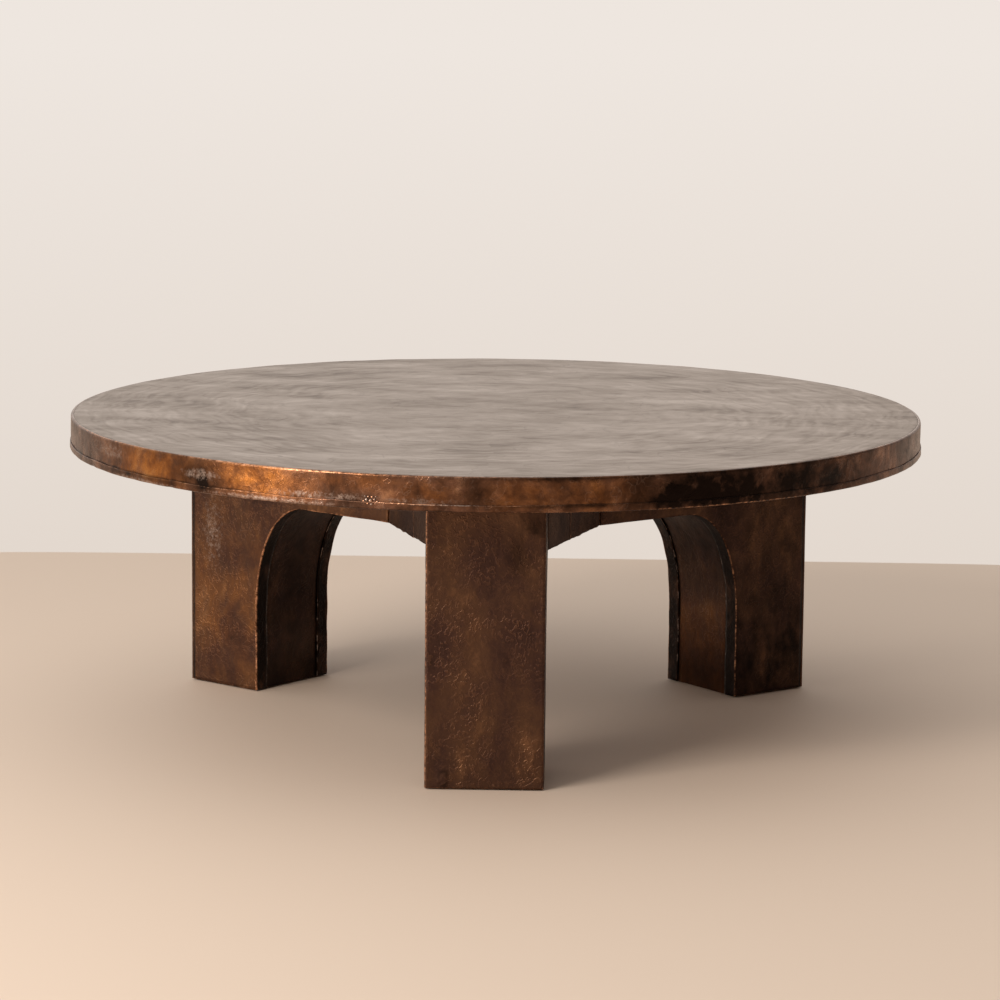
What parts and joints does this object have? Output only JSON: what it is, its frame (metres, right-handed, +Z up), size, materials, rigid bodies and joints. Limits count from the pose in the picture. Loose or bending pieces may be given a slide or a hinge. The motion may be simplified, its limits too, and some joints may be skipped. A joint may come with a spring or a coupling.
{
  "type": "coffee table",
  "caption": "Low round coffee table: a thick disc top and block legs with arched inner faces, timber clad in aged sheet copper.",
  "frame": {"origin": "on the floor, under the middle of the round top", "axes": "+Z up; the front leg stands towards -Y and the other two legs stand to either side behind it"},
  "size_m": [1.2236, 1.2236, 0.443],
  "materials": {
    "top_copper": "satin grey-brown patina",
    "rim_copper": "satin, mottled orange and brown patina, worn edges",
    "leg_copper": "satin dark brown patina, embossed texture, worn edges",
    "timber": "sawn",
    "steel": "zinc plated",
    "felt": "dense felt"
  },
  "bodies": {
    "root": {"top_core": "timber", "top_sheet": "top_copper", "rim_band": "rim_copper", "rim_hem": "rim_copper", "front_arm_core": "timber", "front_leg_core": "timber", "front_outer_sheet": "leg_copper", "front_arch_sheet": "leg_copper", "front_side_sheet_left": "leg_copper", "front_side_sheet_right": "leg_copper", "front_foot_pad": "felt", "front_dowel_outer": "timber", "front_dowel_inner": "timber", "front_leg_bolt": "steel", "front_top_bolt": "steel", "left_arm_core": "timber", "left_leg_core": "timber", "left_outer_sheet": "leg_copper", "left_arch_sheet": "leg_copper", "left_side_sheet_near": "leg_copper", "left_side_sheet_far": "leg_copper", "left_foot_pad": "felt", "left_dowel_outer": "timber", "left_dowel_inner": "timber", "left_leg_bolt": "steel", "left_top_bolt": "steel", "right_arm_core": "timber", "right_leg_core": "timber", "right_outer_sheet": "leg_copper", "right_arch_sheet": "leg_copper", "right_side_sheet_near": "leg_copper", "right_side_sheet_far": "leg_copper", "right_foot_pad": "felt", "right_dowel_outer": "timber", "right_dowel_inner": "timber", "right_leg_bolt": "steel", "right_top_bolt": "steel", "right_gusset_block": "timber", "left_gusset_block": "timber", "right_gusset_sheet": "leg_copper", "left_gusset_sheet": "leg_copper", "hub_soffit_sheet": "leg_copper", "tie_plate": "steel", "tie_screw_1": "steel", "tie_screw_2": "steel", "tie_screw_3": "steel", "tie_screw_4": "steel", "tie_screw_5": "steel", "tie_screw_6": "steel"}
  },
  "joints": []
}
